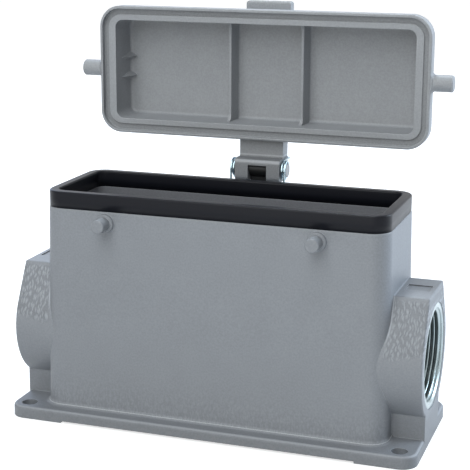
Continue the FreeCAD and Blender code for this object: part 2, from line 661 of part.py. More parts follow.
def make_bracket():
    """Plate, strut and eye in one piece, with two wings for the spring legs."""
    plate = box(-PLATE_LENGTH / 2, PLATE_LENGTH / 2, PAD_Y, PAD_Y + PLATE_THICK, PLATE_LOW_Z, PLATE_HIGH_Z)
    corners = [e for e in plate.Edges if e.BoundBox.YLength > PLATE_THICK / 2]
    plate = plate.makeFillet(PLATE_CORNER, corners)
    neck_front = PIVOT_Y - NECK_FRONT
    neck_back = PIVOT_Y + EYE_R
    strut = profile_x([
        (PAD_Y, PLATE_HIGH_Z - STRUT_THICK),
        (PAD_Y + PLATE_THICK, PLATE_HIGH_Z - STRUT_THICK - PLATE_THICK),
        (neck_back, NECK_FOOT_Z - STRUT_THICK),
        (neck_back, NECK_FOOT_Z),
        (neck_front, NECK_FOOT_Z),
        (PAD_Y, PLATE_HIGH_Z),
    ], -STRUT_WIDTH / 2, STRUT_WIDTH / 2)
    front_z = PIVOT_Z - math.sqrt(EYE_R ** 2 - NECK_FRONT ** 2)
    eye = profile_x([
        (neck_front, NECK_FOOT_Z - SUNK),
        (neck_front, front_z),
        (PIVOT_Y, PIVOT_Z + EYE_R, PIVOT_Y - EYE_R, PIVOT_Z),
        (neck_back, PIVOT_Z, PIVOT_Y + EYE_R * math.sqrt(0.5), PIVOT_Z + EYE_R * math.sqrt(0.5)),
        (neck_back, NECK_FOOT_Z - SUNK),
    ], -EYE_WIDTH / 2, EYE_WIDTH / 2)
    lean_y = PIVOT_Y - COIL_R - WIRE_R - LEG_GAP
    wings = []
    for side in (-1, 1):
        outer = side * PLATE_LENGTH / 2
        inner = outer - side * WING_WIDTH
        wings.append(box(
            min(inner, outer), max(inner, outer), PAD_Y, lean_y, WING_LOW_Z, WING_HIGH_Z))
    bracket = plate.fuse([strut, eye] + wings)
    cuts = [cylinder_x(PIN_R + PIN_PLAY, -EYE_WIDTH, EYE_WIDTH, PIVOT_Y, PIVOT_Z)]
    for side in (-1, 1):
        through = PLATE_THICK + 2 * RUN_OUT
        cuts.append(drill(
            SCREW_R + SCREW_PLAY, through, side * SCREW_X, PAD_Y - RUN_OUT, SCREW_Z, Y_AXIS))
    return single(bracket.cut(cuts))


def make_washer(x):
    start = Vector(x, PAD_Y + PLATE_THICK, SCREW_Z)
    disc = Part.makeCylinder(WASHER_R, WASHER_THICK, start, Y_AXIS)
    return disc.cut(Part.makeCylinder(SCREW_R + SCREW_PLAY, WASHER_THICK, start, Y_AXIS))


def make_screw(x):
    """Hexagon-socket screw with its head on the washer."""
    seat = PAD_Y + PLATE_THICK + WASHER_THICK
    tip = PAD_Y - SCREW_REACH
    shank = Part.makeCylinder(SCREW_R, seat - tip, Vector(x, tip, SCREW_Z), Y_AXIS)
    head = Part.makeCylinder(SCREW_HEAD_R, SCREW_HEAD, Vector(x, seat, SCREW_Z), Y_AXIS)
    top = edges_where(head, lambda p: p.y > seat + SCREW_HEAD - SAME)
    head = head.makeFillet(SCREW_HEAD_EDGE, top)
    corners = []
    for index in range(7):
        angle = math.radians(60 * index)
        corners.append(Vector(
            x + SOCKET_R * math.cos(angle), seat + SCREW_HEAD - SOCKET_DEPTH,
            SCREW_Z + SOCKET_R * math.sin(angle)))
    socket = Part.Face(Part.makePolygon(corners)).extrude(Vector(0, SOCKET_DEPTH + RUN_OUT, 0))
    return single(shank.fuse(head).cut(socket))


def coil_start_x():
    return KNUCKLE_WIDTH / 2 + COIL_GAP + WIRE_R


def make_pin():
    """Rivet through knuckle and eye. Each head fills its spring's coil and ends level with it."""
    half = KNUCKLE_WIDTH / 2 + PIN_HEAD_GAP
    coil_end = coil_start_x() + COIL_PITCH * COIL_TURNS + WIRE_R
    pin = cylinder_x(PIN_R, -half, half, PIVOT_Y, PIVOT_Z)
    head = cylinder_x(PIN_HEAD_R, half, coil_end, PIVOT_Y, PIVOT_Z)
    rim = edges_where(head, lambda p: p.x > coil_end - SAME)
    head = head.makeFillet(PIN_HEAD_EDGE, rim)
    return single(pin.fuse([head, mirrored_x(head)]))


def eased(share):
    """Smooth step 3s^2 - 2s^3, so that the coil's ends leave square to its axis."""
    return 3 * share ** 2 - 2 * share ** 3


def make_spring():
    """Right torsion spring: a hook behind the arm, the coil, and a leg down to the wing."""
    start_x = coil_start_x()
    end_x = start_x + COIL_PITCH * COIL_TURNS
    hook_y = PIVOT_Y + ARM_HIGH + HOOK_GAP + WIRE_R
    hook_z = PIVOT_Z + COIL_R
    bend = HOOK_BEND
    slack = bend * (1 - math.sqrt(0.5))
    hook_end = Vector(start_x - bend - HOOK_REACH, hook_y, hook_z)
    bend_in = Vector(start_x - bend, hook_y, hook_z)
    bend_middle = Vector(start_x - slack, hook_y - slack, hook_z)
    bend_out = Vector(start_x, hook_y - bend, hook_z)
    coil_top = Vector(start_x, PIVOT_Y, hook_z)
    edges = [
        Part.LineSegment(hook_end, bend_in).toShape(),
        Part.Arc(bend_in, bend_middle, bend_out).toShape(),
        Part.LineSegment(bend_out, coil_top).toShape(),
    ]
    for index in range(int(round(COIL_TURNS * COIL_ARCS))):
        points = []
        for part in (0, 0.5, 1):
            turned = (index + part) / COIL_ARCS
            angle = math.pi / 2 + 2 * math.pi * turned
            points.append(Vector(
                start_x + (end_x - start_x) * eased(turned / COIL_TURNS),
                PIVOT_Y + COIL_R * math.cos(angle), PIVOT_Z + COIL_R * math.sin(angle)))
        edges.append(Part.Arc(points[0], points[1], points[2]).toShape())
    leg_top = Vector(end_x, PIVOT_Y - COIL_R, PIVOT_Z)
    leg_end = Vector(end_x, PIVOT_Y - COIL_R, LEG_END_Z)
    edges.append(Part.LineSegment(leg_top, leg_end).toShape())
    path = Part.Wire(edges)
    section = Part.Wire(Part.makeCircle(WIRE_R, hook_end, X_AXIS))
    return path.makePipeShell([section], True, False)


def main():
    os.makedirs("parts", exist_ok=True)
    export(make_housing(), "housing")
    export(make_seal(), "rim_seal")
    insert = make_insert()
    export(insert, "entry_insert_right")
    export(mirrored_x(insert), "entry_insert_left")
    export(make_cover(), "cover")
    export(make_bracket(), "hinge_bracket")
    export(make_pin(), "hinge_pin")
    spring = make_spring()
    export(spring, "torsion_spring_right")
    export(mirrored_x(spring), "torsion_spring_left")
    for side, name in ((-1, "left"), (1, "right")):
        export(make_washer(side * SCREW_X), "bracket_washer_" + name)
        export(make_screw(side * SCREW_X), "bracket_screw_" + name)


main()
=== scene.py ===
# %% [markdown]
# # A die-cast connector housing with a hinged cover
#
# The object is one half of a heavy duty rectangular connector: a grey die-cast housing that is
# screwed to a machine, with a threaded cable entry at each end, a rubber seal round its open rim,
# and a cast cover that stands open on a sprung hinge.
#
# The castings, the hinge bracket, the pin and the screws come from the CAD frame, because their
# shape is already right there. This notebook gives them their finish, and it makes the pieces whose
# looks need more than the CAD solid holds: the seal's soft edges, the threads, the round wire, and
# the fine line at the body's foot, whose light colour is a painted highlight.

# %% Load the frame
import json
import math

import bpy
import numpy as np
from mathutils import Matrix, Vector


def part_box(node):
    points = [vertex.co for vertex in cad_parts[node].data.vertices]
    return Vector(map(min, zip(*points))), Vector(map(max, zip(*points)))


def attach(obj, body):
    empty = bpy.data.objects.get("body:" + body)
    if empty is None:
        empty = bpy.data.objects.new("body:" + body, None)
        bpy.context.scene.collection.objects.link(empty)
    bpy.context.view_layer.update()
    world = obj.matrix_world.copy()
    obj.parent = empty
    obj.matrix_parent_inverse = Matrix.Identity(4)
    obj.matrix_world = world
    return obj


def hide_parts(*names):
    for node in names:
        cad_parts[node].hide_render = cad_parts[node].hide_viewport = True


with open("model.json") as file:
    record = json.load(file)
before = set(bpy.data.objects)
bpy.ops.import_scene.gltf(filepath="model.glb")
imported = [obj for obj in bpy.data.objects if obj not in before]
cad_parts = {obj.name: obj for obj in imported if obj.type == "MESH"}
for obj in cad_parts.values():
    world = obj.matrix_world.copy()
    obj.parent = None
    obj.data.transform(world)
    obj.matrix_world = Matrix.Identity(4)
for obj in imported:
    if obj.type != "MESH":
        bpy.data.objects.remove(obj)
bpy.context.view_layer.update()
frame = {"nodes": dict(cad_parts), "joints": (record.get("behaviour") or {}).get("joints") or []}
MM = 0.001
SIDES = ("left", "right")
print("nodes:", ", ".join(sorted(frame["nodes"])))

# %% [markdown]
# ## The camera
#
# A part of this size is photographed with a long lens, here from about half a metre, so that its
# sides stay nearly parallel. The place, the three angles and the lens below come from fitting a
# pinhole camera to corners of the casting whose real places are known. The picture is 470 x 470
# pixels, and the lens follows from the focal length in those pixels.

# %% Camera
PHOTO_SIDE = 470
SENSOR_MM = 36.0
FOCAL_PIXELS = 1346.222
CAMERA_MM = (146.713, -425.877, 175.857)
CAMERA_YAW = math.radians(18.769)
CAMERA_PITCH = math.radians(-13.759)
CAMERA_ROLL = math.radians(0.303)
CAMERA_REACH_M = 10


def camera_turn(yaw, pitch, roll):
    """Rotation whose -Z looks along (-sin yaw cos pitch, cos yaw cos pitch, sin pitch)."""
    return (Matrix.Rotation(yaw, 4, "Z") @ Matrix.Rotation(math.pi / 2 + pitch, 4, "X")
            @ Matrix.Rotation(roll, 4, "Z"))


camera_data = bpy.data.cameras.new("studio_camera")
camera_data.sensor_width = SENSOR_MM
camera_data.lens = FOCAL_PIXELS / PHOTO_SIDE * SENSOR_MM
camera_data.clip_end = CAMERA_REACH_M
camera = bpy.data.objects.new("studio_camera", camera_data)
camera_place = Matrix.Translation(Vector(CAMERA_MM) * MM)
camera.matrix_world = camera_place @ camera_turn(CAMERA_YAW, CAMERA_PITCH, CAMERA_ROLL)
bpy.context.scene.collection.objects.link(camera)
bpy.context.scene.camera = camera
bpy.context.scene.view_settings.view_transform = "Standard"
print("lens", round(camera_data.lens, 2), "mm")

# %% [markdown]
# ## One helper for nodes, one for colours
#
# A material is a small graph. Each node is added by the same function, which takes the node's kind,
# what goes into its sockets, and its settings. Colours are written as sRGB hex values, as a paint
# chart gives them, and turned to the linear values that the renderer works with.


# %% Node and colour helpers
def linear(hex_colour, alpha=1.0):
    """sRGB hex to linear: c / 12.92 below 0.04045, else ((c + 0.055) / 1.055) to the power 2.4."""
    channels = []
    for start in (1, 3, 5):
        c = int(hex_colour[start:start + 2], 16) / 255
        channels.append(c / 12.92 if c <= 0.04045 else ((c + 0.055) / 1.055) ** 2.4)
    return (*channels, alpha)


def add(tree, kind, inputs=None, **settings):
    """Adds a node. Each input is a value or another node's output socket."""
    made = tree.nodes.new(kind)
    for name, value in settings.items():
        setattr(made, name, value)
    for name, value in (inputs or {}).items():
        if isinstance(value, bpy.types.NodeSocket):
            tree.links.new(value, made.inputs[name])
        else:
            made.inputs[name].default_value = value
    return made


def start_material(name):
    """An empty material with its output node."""
    material = bpy.data.materials.new(name)
    material.use_nodes = True
    material.node_tree.nodes.clear()
    output = add(material.node_tree, "ShaderNodeOutputMaterial")
    return material, material.node_tree, output


def per_mm(size):
    """Noise scale whose features are about this many millimetres wide, in metre coordinates."""
    return 1 / (size * MM)


# %% [markdown]
# ## Studio: a white room and a pale floor
#
# The photograph has the even light of a light tent and a white background. The world adds hardly any
# light, but shows as plain white to the camera and in reflections. The floor is matte paper that
# keeps the object's shadow. To the eye it also glows, least near the object, so that it runs out
# into the white without an edge.

# %% World and floor
WHITE = "#ffffff"
WORLD_STRENGTH = 0.02
PAPER = "#d2d2d2"
PAPER_GLOW = (0.65, 1.0)      # near the object and far from it
GLOW_GROWS_MM = (150, 900)
FLOOR_SIDE_M = 6.0


def looked_at(tree):
    """1 for a ray from the camera, or one that a mirror or glass passes on, and 0 for light."""
    path = add(tree, "ShaderNodeLightPath")
    direct = add(tree, "ShaderNodeMath", {
        0: path.outputs["Is Camera Ray"], 1: path.outputs["Is Transmission Ray"]}, operation="MAXIMUM")
    seen = add(tree, "ShaderNodeMath", {
        0: direct.outputs[0], 1: path.outputs["Is Glossy Ray"]}, operation="MAXIMUM")
    return seen.outputs[0]


def make_world():
    """White to the camera and in reflections, weaker as a light."""
    world = bpy.data.worlds.new("white_tent")
    world.use_nodes = True
    tree = world.node_tree
    tree.nodes.clear()
    light = add(tree, "ShaderNodeBackground", {"Color": linear(WHITE), "Strength": WORLD_STRENGTH})
    plain = add(tree, "ShaderNodeBackground", {"Color": linear(WHITE), "Strength": 1.0})
    mix = add(tree, "ShaderNodeMixShader", {
        0: looked_at(tree), 1: light.outputs[0], 2: plain.outputs[0]})
    add(tree, "ShaderNodeOutputWorld", {"Surface": mix.outputs[0]})
    return world


def make_floor_paper():
    """Matte pale paper, plus a glow for the eye that grows with the distance from the origin."""
    material, tree, output = start_material("white_paper")
    position = add(tree, "ShaderNodeTexCoord").outputs["Object"]
    far = add(tree, "ShaderNodeVectorMath", {0: position}, operation="LENGTH")
    growth = add(tree, "ShaderNodeMapRange", {
        "Value": far.outputs["Value"],
        "From Min": GLOW_GROWS_MM[0] * MM, "From Max": GLOW_GROWS_MM[1] * MM,
        "To Min": PAPER_GLOW[0], "To Max": PAPER_GLOW[1]})
    glow_strength = add(tree, "ShaderNodeMath", {
        0: looked_at(tree), 1: growth.outputs[0]}, operation="MULTIPLY")
    paper = add(tree, "ShaderNodeBsdfDiffuse", {"Color": linear(PAPER)})
    glow = add(tree, "ShaderNodeEmission", {
        "Color": linear(WHITE), "Strength": glow_strength.outputs[0]})
    both = add(tree, "ShaderNodeAddShader", {0: paper.outputs[0], 1: glow.outputs[0]})
    tree.links.new(both.outputs[0], output.inputs["Surface"])
    return material


def make_floor():
    """One square at z = 0, with the object at its middle."""
    half = FLOOR_SIDE_M / 2
    corners = [(-half, -half, 0), (half, -half, 0), (half, half, 0), (-half, half, 0)]
    mesh = bpy.data.meshes.new("floor")
    mesh.from_pydata(corners, [], [(0, 1, 2, 3)])
    mesh.materials.append(make_floor_paper())
    made = bpy.data.objects.new("floor", mesh)
    bpy.context.scene.collection.objects.link(made)
    return made


bpy.context.scene.world = make_world()
floor = make_floor()
print("floor", FLOOR_SIDE_M, "m wide")

# %% [markdown]
# ## Five lamps
#
# A very large lamp in front and above lights the front, and a low one fills the foot. Large lamps
# behind on both sides make the end faces pale and slightly blue. A small lamp high at the back gives
# the only sharp shadow, on the right boss's flat: the larger a lamp is for its distance, the softer
# its shadow's edge.

# %% Lamps
LAMPS_AIM_MM = (0, 0, 70)


def add_lamp(name, place_mm, size_mm, watts, colour):
    """A rectangular soft lamp that looks at the middle of the object."""
    data = bpy.data.lights.new(name, "AREA")
    data.shape = "RECTANGLE"
    data.size = size_mm[0] * MM
    data.size_y = size_mm[1] * MM
    data.energy = watts
    data.color = linear(colour)[:3]
    lamp = bpy.data.objects.new(name, data)
    here = Vector(place_mm) * MM
    aim = Vector(LAMPS_AIM_MM) * MM
    turn = (aim - here).to_track_quat("-Z", "Y").to_matrix().to_4x4()
    lamp.matrix_world = Matrix.Translation(here) @ turn
    bpy.context.scene.collection.objects.link(lamp)
    print(name, watts, "W")


add_lamp("front_top_lamp", (-50, -620, 720), (700, 1100), 7.4, "#f8fdff")
add_lamp("front_low_lamp", (0, -900, 110), (700, 200), 0.9, "#fffcf0")
add_lamp("right_back_lamp", (700, 500, 420), (500, 600), 8.0, "#ddeeff")
add_lamp("top_back_lamp", (-80, 350, 900), (90, 90), 4.6, "#ebf6ff")
add_lamp("left_back_lamp", (-650, 560, 420), (500, 600), 2.3, "#bcd6ff")

# %% [markdown]
# ## Powder coat on die-cast aluminium
#
# Housing and cover are aluminium, cast in a steel mould and then powder coated in a mid grey. Powder
# melts into a film of fine grain with a satin sheen: nothing reflects sharply, and corners that the
# mould leaves are softened by it. Edges are painted lighter, partly as wear and partly as highlight.
#
# The castings also have marks of their own, which the next cells make: grains, painted highlights and
# painted shade.
# They could be painted on a picture, but that would tie them to one mesh. Here the shader works out
# how far a point lies outside the body's outline, from the casting's own sizes, and places each mark
# by that distance and by height.

# %% Distance from the body
BODY_RIM_MM = (120.3, 42.8, 75.35)          # length and width at the rim, and the rim's height
BODY_CORNER_MM = 6.6
BODY_DRAFT = math.tan(math.radians(0.92))   # the body widens downwards by this share of the depth
ABOVE_ALL_M = 1.0                           # higher than any point, so that height doesn't count


def outside_body(tree, position, height):
    """Distance outside the body's outline, a rounded rectangle: |max(|p| - c, 0)| - corner radius.

    c is the centre of the corner's arc. It moves out by the draft times the depth below the rim."""
    folded = add(tree, "ShaderNodeVectorMath", {0: position}, operation="ABSOLUTE")
    depth = add(tree, "ShaderNodeMath", {0: BODY_RIM_MM[2] * MM, 1: height}, operation="SUBTRACT")
    growth = add(tree, "ShaderNodeMath", {0: depth.outputs[0], 1: BODY_DRAFT}, operation="MULTIPLY")
    spread = add(tree, "ShaderNodeCombineXYZ", {"X": growth.outputs[0], "Y": growth.outputs[0]})
    at_rim = [(size / 2 - BODY_CORNER_MM) * MM for size in BODY_RIM_MM[:2]]
    centre = add(tree, "ShaderNodeVectorMath", {
        0: spread.outputs[0], 1: (*at_rim, ABOVE_ALL_M)}, operation="ADD")
    past = add(tree, "ShaderNodeVectorMath", {
        0: folded.outputs[0], 1: centre.outputs[0]}, operation="SUBTRACT")
    clipped = add(tree, "ShaderNodeVectorMath", {0: past.outputs[0], 1: (0, 0, 0)}, operation="MAXIMUM")
    reach = add(tree, "ShaderNodeVectorMath", {0: clipped.outputs[0]}, operation="LENGTH")
    return add(tree, "ShaderNodeMath", {
        0: reach.outputs["Value"], 1: BODY_CORNER_MM * MM}, operation="SUBTRACT").outputs[0]


# %% [markdown]
# ## Hammered flanks
#
# On the upper flanks of the two cable bosses the mould itself was hammered, which leaves short
# upright grains that stand out lighter. The field ends in a ragged border that climbs outwards. The
# same grains show very faintly at the foot of the body's walls. A Voronoi pattern has one cell for
# each grain: squeezed along the height, its round cells become tall ones.

# %% Hammered flanks
HAMMER_WIDE_MM = 0.85           # width and height of one grain's cell
HAMMER_TALL_MM = 2.4
HAMMER_HIGH_MM = 0.12           # how far a crest stands out
HAMMER_LIFT = 0.5               # the crests are lighter than the ground
HAMMER_GROUND = 0.3             # share of the lift that is taken off the ground
HAMMER_SWAY_MM = (2.5, 2.0)     # the rows of grains sway: size of the sway's waves, and how far
HAMMER_JITTER = 0.9             # 0 gives even rows, 1 a random scatter
HAMMER_CREST = (0.5, 0.15)      # in cells from the middle: where a crest begins, and where it is full
HAMMER_OUT_MM = (0.4, 1.0)      # the field begins this far outside the body
HAMMER_LOW_Z_MM = (35.0, 37.0)  # it fades in here at the body, before its border is made ragged
HAMMER_CLIMB = 0.15             # and the border climbs by this share of the distance
HAMMER_RAGGED_MM = (3.0, 4.0)   # width and height of the border's waves
HAMMER_TOP_Z_MM = (51.4, 52.2)  # and fades out here, under the bosses' flat tops
FOOT_GRAIN_Z_MM = (9.0, 17.0)   # the faint grains fade out between these heights
BODY_WALL_MM = 0.3              # nearer to the outline than this is the body's own wall


def hammer_zone(tree, position, height, distance):
    """1 on the bosses' upper flanks, 0 elsewhere: outside the body and between two heights."""
    beyond = add(tree, "ShaderNodeMapRange", {
        "Value": distance, "From Min": HAMMER_OUT_MM[0] * MM, "From Max": HAMMER_OUT_MM[1] * MM})
    waves = add(tree, "ShaderNodeTexNoise", {"Vector": position, "Scale": per_mm(HAMMER_RAGGED_MM[0])})
    ragged = add(tree, "ShaderNodeMath", {
        0: waves.outputs["Fac"], 1: HAMMER_RAGGED_MM[1] * MM}, operation="MULTIPLY")
    shift = add(tree, "ShaderNodeMath", {
        0: distance, 1: -HAMMER_CLIMB, 2: ragged.outputs[0]}, operation="MULTIPLY_ADD")
    shifted = add(tree, "ShaderNodeMath", {0: height, 1: shift.outputs[0]}, operation="ADD")
    above = add(tree, "ShaderNodeMapRange", {
        "Value": shifted.outputs[0],
        "From Min": HAMMER_LOW_Z_MM[0] * MM, "From Max": HAMMER_LOW_Z_MM[1] * MM})
    below = add(tree, "ShaderNodeMapRange", {
        "Value": height, "From Min": HAMMER_TOP_Z_MM[1] * MM, "From Max": HAMMER_TOP_Z_MM[0] * MM})
    both = add(tree, "ShaderNodeMath", {0: beyond.outputs[0], 1: above.outputs[0]}, operation="MULTIPLY")
    return add(tree, "ShaderNodeMath", {
        0: both.outputs[0], 1: below.outputs[0]}, operation="MULTIPLY").outputs[0]


def hammer_grains(tree, position, place):
    """Separate crests, one in each cell of a lattice that is narrow across and tall along Z."""
    sway = add(tree, "ShaderNodeTexNoise", {"Vector": position, "Scale": per_mm(HAMMER_SWAY_MM[0])})
    swayed = add(tree, "ShaderNodeMath", {
        0: sway.outputs["Fac"], 1: HAMMER_SWAY_MM[1] * MM, 2: place.outputs["X"]},
        operation="MULTIPLY_ADD")
    squeezed = add(tree, "ShaderNodeMath", {
        0: place.outputs["Z"], 1: HAMMER_WIDE_MM / HAMMER_TALL_MM}, operation="MULTIPLY")
    flat = add(tree, "ShaderNodeCombineXYZ", {"X": swayed.outputs[0], "Y": squeezed.outputs[0]})
    cells = add(tree, "ShaderNodeTexVoronoi", {
        "Vector": flat.outputs[0], "Scale": per_mm(HAMMER_WIDE_MM), "Randomness": HAMMER_JITTER},
        voronoi_dimensions="2D")
    return add(tree, "ShaderNodeMapRange", {
        "Value": cells.outputs["Distance"],
        "From Min": HAMMER_CREST[0], "From Max": HAMMER_CREST[1]}).outputs[0]


def foot_zone(tree, height, distance):
    """1 low on the body's own walls, fading out above, 0 on all that stands outside them."""
    low = add(tree, "ShaderNodeMapRange", {
        "Value": height, "From Min": FOOT_GRAIN_Z_MM[1] * MM, "From Max": FOOT_GRAIN_Z_MM[0] * MM})
    near = add(tree, "ShaderNodeMath", {0: distance, 1: BODY_WALL_MM * MM}, operation="LESS_THAN")
    return add(tree, "ShaderNodeMath", {
        0: low.outputs[0], 1: near.outputs[0]}, operation="MULTIPLY").outputs[0]


# %% [markdown]
# ## Seam, recess and flange: painted highlights and shade
#
# A painted highlight marks where a boss meets the body, the walls of the shallow recess on each
# boss lie in painted shade, and the flange's rounded upper edge gets a painted highlight. Flange and
# pedestals are painted slightly darker than the walls, a painted shade. Each function gives one mark:
# 1 on its place and 0 elsewhere, or the share of the light that is left there.

# %% Seam, recess and flange
SEAM_MM = (0.30, 0.2)           # middle and half width of the painted highlight line outside the body
SEAM_LOW_Z_MM = (38.0, 42.0)    # it fades in between these heights
POCKET_Z_MM = (52.88, 0.17)     # middle and half height of the walls of the recess on each boss
POCKET_OUT_MM = (6.0, 5.0)      # middle and half length of the recess, outwards from the body
POCKET_HALF_Y_MM = 4.0
POCKET_SHARE = 0.3
FLANGE_EDGE_MM = (3.9, 0.55)    # middle and half height of the flange's rounded upper edge, which gets the painted highlight
FLANGE_EDGE_UP = (0.72, 0.2)    # middle and half range of how far its normal points up
LOW_PARTS_Z_MM = (9.5, 12.5)    # flange and pedestals end between these heights
LOW_PARTS_OUT_MM = (1.0, 1.6)   # and begin this far outside the body
LOW_PARTS_SHADE_SHARE = 0.87


def seam_painted_highlight(tree, height, distance):
    """1 on the thin painted highlight line where a boss meets the body, fading out below."""
    line = add(tree, "ShaderNodeMath", {
        0: distance, 1: SEAM_MM[0] * MM, 2: SEAM_MM[1] * MM}, operation="COMPARE")
    high = add(tree, "ShaderNodeMapRange", {
        "Value": height, "From Min": SEAM_LOW_Z_MM[0] * MM, "From Max": SEAM_LOW_Z_MM[1] * MM})
    return add(tree, "ShaderNodeMath", {
        0: line.outputs[0], 1: high.outputs[0]}, operation="MULTIPLY").outputs[0]


def pocket_share(tree, place, distance):
    """Share of light on the walls of the recess on top of each boss, 1 elsewhere."""
    reaches = (
        (place.outputs["Z"], POCKET_Z_MM),
        (distance, POCKET_OUT_MM),
        (place.outputs["Y"], (0.0, POCKET_HALF_Y_MM)))
    dark = 1.0
    for value, (middle, half) in reaches:
        near = add(tree, "ShaderNodeMath", {0: value, 1: middle * MM, 2: half * MM}, operation="COMPARE")
        dark = add(tree, "ShaderNodeMath", {0: near.outputs[0], 1: dark}, operation="MULTIPLY").outputs[0]
    return add(tree, "ShaderNodeMapRange", {
        "Value": dark, "To Min": 1.0, "To Max": POCKET_SHARE}).outputs[0]


def flange_edge_highlight(tree, height):
    """1 on the painted highlight halfway round the flange's upper edge, where the surface looks about 45
    degrees up.
    """
    low = add(tree, "ShaderNodeMath", {
        0: height, 1: FLANGE_EDGE_MM[0] * MM, 2: FLANGE_EDGE_MM[1] * MM}, operation="COMPARE")
    true_normal = add(tree, "ShaderNodeNewGeometry").outputs["True Normal"]
    upward = add(tree, "ShaderNodeSeparateXYZ", {0: true_normal}).outputs["Z"]
    slanted = add(tree, "ShaderNodeMath", {
        0: upward, 1: FLANGE_EDGE_UP[0], 2: FLANGE_EDGE_UP[1]}, operation="COMPARE")
    return add(tree, "ShaderNodeMath", {
        0: low.outputs[0], 1: slanted.outputs[0]}, operation="MULTIPLY").outputs[0]


def low_parts_painted_shade(tree, height, distance):
    """Share of light left by the painted shade on the flange and the pedestals, 1 elsewhere."""
    low = add(tree, "ShaderNodeMapRange", {
        "Value": height, "From Min": LOW_PARTS_Z_MM[1] * MM, "From Max": LOW_PARTS_Z_MM[0] * MM})
    beyond = add(tree, "ShaderNodeMapRange", {
        "Value": distance, "From Min": LOW_PARTS_OUT_MM[0] * MM, "From Max": LOW_PARTS_OUT_MM[1] * MM})
    both = add(tree, "ShaderNodeMath", {0: low.outputs[0], 1: beyond.outputs[0]}, operation="MULTIPLY")
    return add(tree, "ShaderNodeMapRange", {
        "Value": both.outputs[0], "To Min": 1.0, "To Max": LOW_PARTS_SHADE_SHARE}).outputs[0]


# %% [markdown]
# ## All marks of the housing together
#
# The film's brightness is one number, about 1. Grains and painted highlight lines add to it, painted
# shade takes a share of it, and the hammered grains also bend the normal, so that they catch the lamps.

# %% Marks of the housing
FOOT_GRAIN_LIFT = 0.13
SEAM_HIGHLIGHT_LIFT = 0.6
FLANGE_EDGE_HIGHLIGHT_LIFT = 0.35


def housing_marks_and_painted_light(tree, position, brightness, relief):
    """Adds each mark times its lift to the brightness, takes the shares, and bumps the normal."""
    place = add(tree, "ShaderNodeSeparateXYZ", {0: position})
    height = place.outputs["Z"]
    distance = outside_body(tree, position, height)
    zone = hammer_zone(tree, position, height, distance)
    grains = hammer_grains(tree, position, place)
    hammered = add(tree, "ShaderNodeBump", {
        "Height": grains, "Normal": relief, "Distance": HAMMER_HIGH_MM * MM, "Strength": zone})
    level = add(tree, "ShaderNodeMath", {0: grains, 1: HAMMER_GROUND}, operation="SUBTRACT")
    upper = add(tree, "ShaderNodeMath", {0: level.outputs[0], 1: zone}, operation="MULTIPLY")
    foot = add(tree, "ShaderNodeMath", {
        0: level.outputs[0], 1: foot_zone(tree, height, distance)}, operation="MULTIPLY")
    lifts = (
        (upper.outputs[0], HAMMER_LIFT),
        (foot.outputs[0], FOOT_GRAIN_LIFT),
        (seam_painted_highlight(tree, height, distance), SEAM_HIGHLIGHT_LIFT),
        (flange_edge_highlight(tree, height), FLANGE_EDGE_HIGHLIGHT_LIFT))
    for mark, lift in lifts:
        brightness = add(tree, "ShaderNodeMath", {
            0: mark, 1: lift, 2: brightness}, operation="MULTIPLY_ADD").outputs[0]
    for share in (pocket_share(tree, place, distance), low_parts_painted_shade(tree, height, distance)):
        brightness = add(tree, "ShaderNodeMath", {
            0: brightness, 1: share}, operation="MULTIPLY").outputs[0]
    return brightness, hammered.outputs[0]


# %% [markdown]
# ## Marks of the cover and of the bead
#
# The knuckle between the hinge's wings lies in painted shade, with a painted highlight on its upper
# edge. Across the arm above it run a painted shade in the corner and a painted highlight on a step.
# The floor of the groove round the cover's mouth gets painted shade. The bead at the housing's foot
# gets one painted shade all over, for the corner it lies in, and no other marks.

# %% Marks of the cover and the bead
ARM_HALF_MM = 8.6
ARM_ROOT_Z_MM = (86.7, 0.25)      # middle and half height of the painted shade in the corner between arm and knuckle
ARM_ROOT_SHADE = -0.45
ARM_STEP_Z_MM = (87.5, 0.25)      # middle and half height of the painted highlight on the step above it
ARM_STEP_HIGHLIGHT_LIFT = 0.4
KNUCKLE_Z_MM = (85.0, 85.5)       # the shade on the knuckle ends between these heights
KNUCKLE_SHADE = -0.22
KNUCKLE_EDGE_Z_MM = (85.9, 0.35)  # middle and half height of the painted highlight on its rounded upper edge
KNUCKLE_EDGE_HIGHLIGHT_LIFT = 0.22
MOUTH_GROOVE_Y_MM = (33.7, 0.6)   # middle and half depth of the groove's floor, which gets painted shade
MOUTH_GROOVE_FACING = 0.9         # with the cover open, only what looks out of its mouth is that floor
MOUTH_GROOVE_SHADE = -0.22
BEAD_SHADE = -0.22


